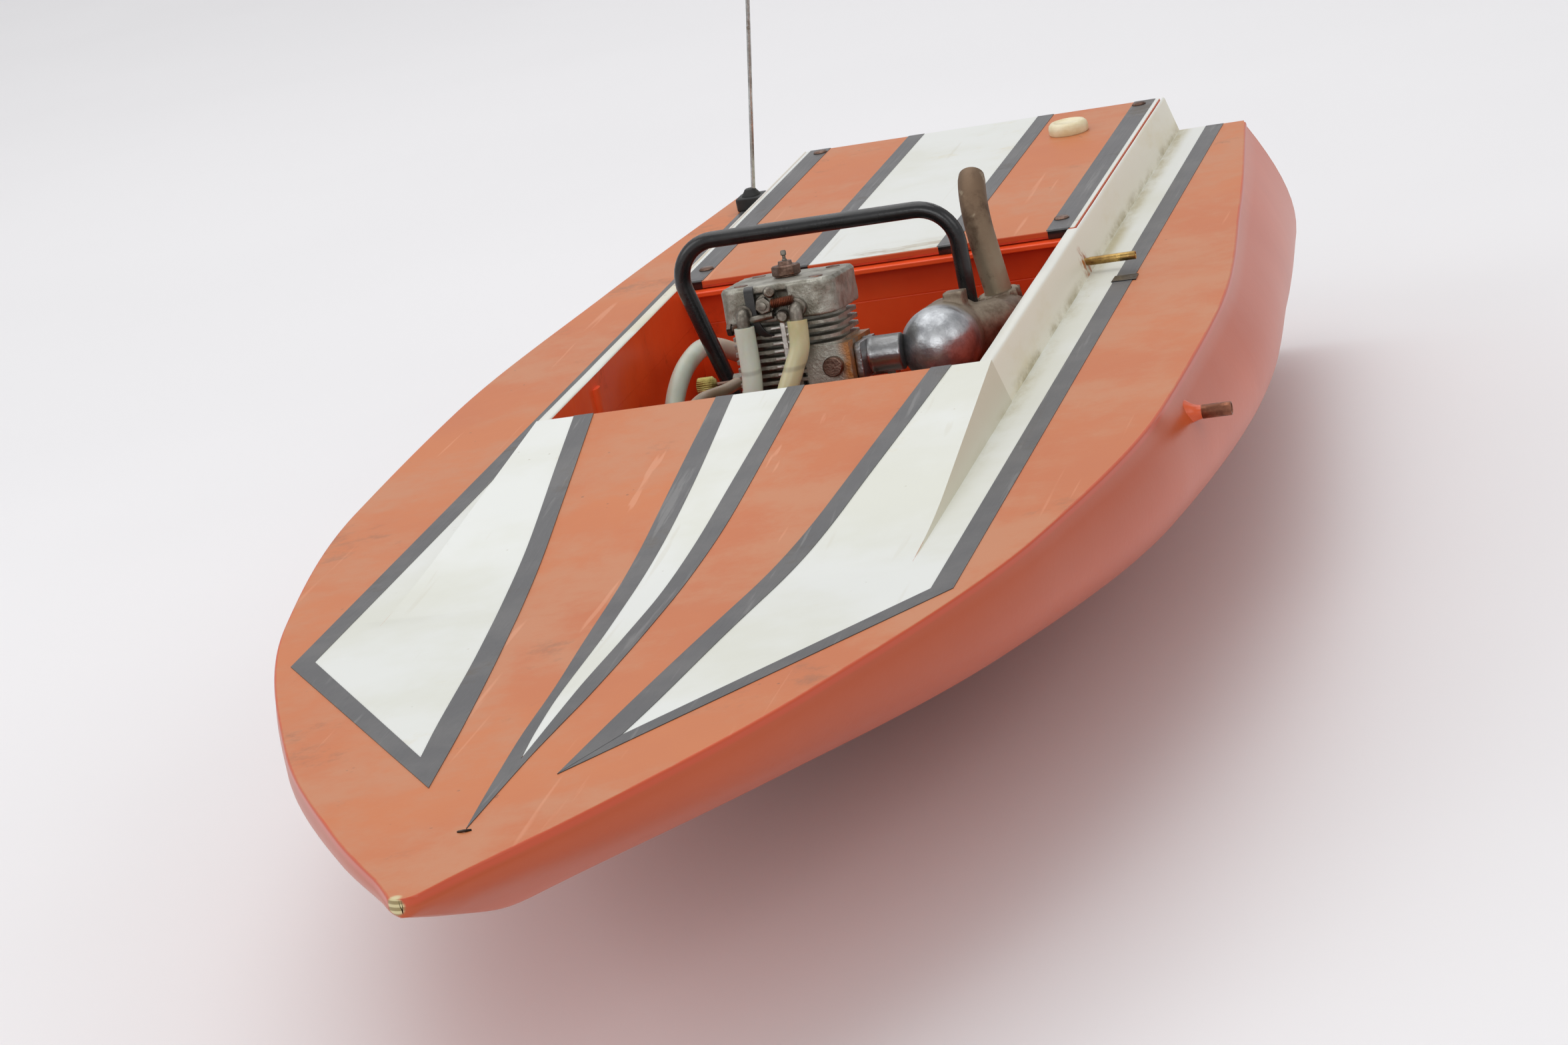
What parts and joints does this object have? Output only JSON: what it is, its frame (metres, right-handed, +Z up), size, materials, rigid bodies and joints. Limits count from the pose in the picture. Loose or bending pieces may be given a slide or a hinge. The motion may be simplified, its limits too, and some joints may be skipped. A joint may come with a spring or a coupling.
{
  "type": "radio-controlled model boat",
  "caption": "Radio-controlled glow-engine speedboat: deep-vee hull, striped deck, open engine bay with roll bar and exhaust pipe, shaft drive, transom rudder, lift-off radio hatch and aerial.",
  "frame": {"origin": "on the flat of the keel, 100 mm ahead of the transom face", "axes": "+X to port, +Y towards the stern, +Z up; the keel flat is level"},
  "size_m": [0.307, 0.85, 0.4955],
  "materials": {
    "hull_paint": "satin orange enamel on glass fibre, browned under the sheer",
    "deck_paint": "dusty satin orange enamel with white panels and grey tape lines",
    "white_paint": "satin white enamel, yellowed",
    "bay_paint": "gloss red-orange enamel on plywood",
    "plywood": "sealed birch plywood",
    "cast_aluminium": "sand cast, oxidised",
    "dark_steel": "browned",
    "old_copper": "tarnished",
    "water_hose": "translucent silicone, yellowed",
    "carburettor_metal": "dull",
    "pipe_steel": "heat-browned",
    "black_sleeve": "black tubing over wire",
    "tank_plastic": "translucent white",
    "fuel_hose": "silicone",
    "brass": "tarnished",
    "black_plastic": "moulded",
    "black_rubber": "matt",
    "aerial_wire": "drawn wire",
    "steel": "turned",
    "white_plastic": "moulded nylon",
    "cream_plastic": "aged"
  },
  "bodies": {
    "hull": {"hull_shell": "hull_paint", "transom": "hull_paint", "deck": "deck_paint", "foredeck_ramp": "deck_paint", "coaming_port": "white_paint", "coaming_starboard": "white_paint", "front_bulkhead": "bay_paint", "rear_bulkhead": "bay_paint", "stern_panel": "hull_paint", "hull_frames": "bay_paint", "engine_bearers": "bay_paint", "radio_tray": "plywood", "crankcase": "cast_aluminium", "backplate": "cast_aluminium", "finned_cylinder": "cast_aluminium", "cylinder_head": "cast_aluminium", "engine_bolts": "dark_steel", "glow_plug": "dark_steel", "water_elbows": "old_copper", "hose_in": "water_hose", "hose_out": "water_hose", "carburettor": "carburettor_metal", "exhaust_manifold": "cast_aluminium", "muffler": "cast_aluminium", "exhaust_clamp": "cast_aluminium", "exhaust_pipe": "pipe_steel", "roll_bar": "black_sleeve", "roll_bar_feet": "bay_paint", "fuel_tank": "tank_plastic", "fuel_line": "fuel_hose", "hull_outlet_tube": "old_copper", "outlet_cone": "hull_paint", "coaming_tube": "brass", "stuffing_tube": "brass", "strut": "brass", "water_pickup": "brass", "rudder_bracket": "cast_aluminium", "radio_boxes": "black_plastic", "throttle_servo": "black_plastic", "rudder_servo": "black_plastic", "switch_body": "black_plastic", "aerial_base": "black_rubber", "aerial": "aerial_wire"},
    "drive": {"crankshaft": "steel", "flywheel": "steel", "coupling": "dark_steel", "prop_shaft": "steel", "propeller": "brass", "prop_nut": "brass"},
    "needle": {"needle_valve": "brass"},
    "throttle": {"throttle_lever": "steel"},
    "throttle_link": {"throttle_rod": "steel"},
    "throttle_servo_horn": {"throttle_servo_arm": "white_plastic"},
    "rudder": {"rudder": "steel", "rudder_arm": "black_plastic"},
    "rudder_link": {"rudder_rod": "steel"},
    "rudder_servo_horn": {"rudder_servo_arm": "white_plastic"},
    "hatch": {"radio_hatch": "deck_paint"},
    "cap": {"hatch_cap": "cream_plastic"},
    "switch": {"switch_slider": "white_plastic"}
  },
  "joints": [
    {"name": "drive_spin", "type": "hinge", "parent": "hull", "child": "drive", "pos_m": [0, -0.245, 0.0703], "axis": [0, 0.9925, -0.1219], "continuous": true},
    {"name": "needle_turn", "type": "hinge", "parent": "hull", "child": "needle", "pos_m": [-0.04, -0.21464, 0.09599], "axis": [1, 0, 0], "continuous": true},
    {"name": "throttle_turn", "type": "hinge", "parent": "hull", "child": "throttle", "pos_m": [0, -0.21491, 0.09381], "axis": [1, 0, 0], "range_deg": [-25, 25]},
    {"name": "throttle_rod_slide", "type": "slide", "parent": "hull", "child": "throttle_link", "axis": [0, 1, 0], "range_m": [-0.0068, 0.0068]},
    {"name": "throttle_servo_turn", "type": "hinge", "parent": "hull", "child": "throttle_servo_horn", "pos_m": [0.038, -0.06, 0.0794], "axis": [0, 0, 1], "range_deg": [-28, 28]},
    {"name": "rudder_turn", "type": "hinge", "parent": "hull", "child": "rudder", "pos_m": [-0.042, 0.126, 0.0794], "axis": [0, 0, 1], "range_deg": [-35, 35]},
    {"name": "rudder_rod_slide", "type": "slide", "parent": "hull", "child": "rudder_link", "axis": [0, 1, 0], "range_m": [-0.0086, 0.0086]},
    {"name": "rudder_servo_turn", "type": "hinge", "parent": "hull", "child": "rudder_servo_horn", "pos_m": [-0.042, 0.035, 0.0794], "axis": [0, 0, 1], "range_deg": [-35, 35]},
    {"name": "hatch_lift", "type": "slide", "parent": "hull", "child": "hatch", "axis": [0, 0, 1], "range_m": [0, 0.06]},
    {"name": "cap_pull", "type": "slide", "parent": "hatch", "child": "cap", "axis": [0, 0, 1], "range_m": [0, 0.012]},
    {"name": "switch_slide", "type": "slide", "parent": "hull", "child": "switch", "axis": [0, 1, 0], "range_m": [0, 0.006]}
  ],
  "couplings": [
    {"joint": "throttle_rod_slide", "follows": "throttle_turn", "m_per_rad": 0.0148},
    {"joint": "throttle_servo_turn", "follows": "throttle_turn", "ratio": -1.0714},
    {"joint": "rudder_rod_slide", "follows": "rudder_turn", "m_per_rad": 0.0138},
    {"joint": "rudder_servo_turn", "follows": "rudder_turn", "ratio": 1}
  ]
}
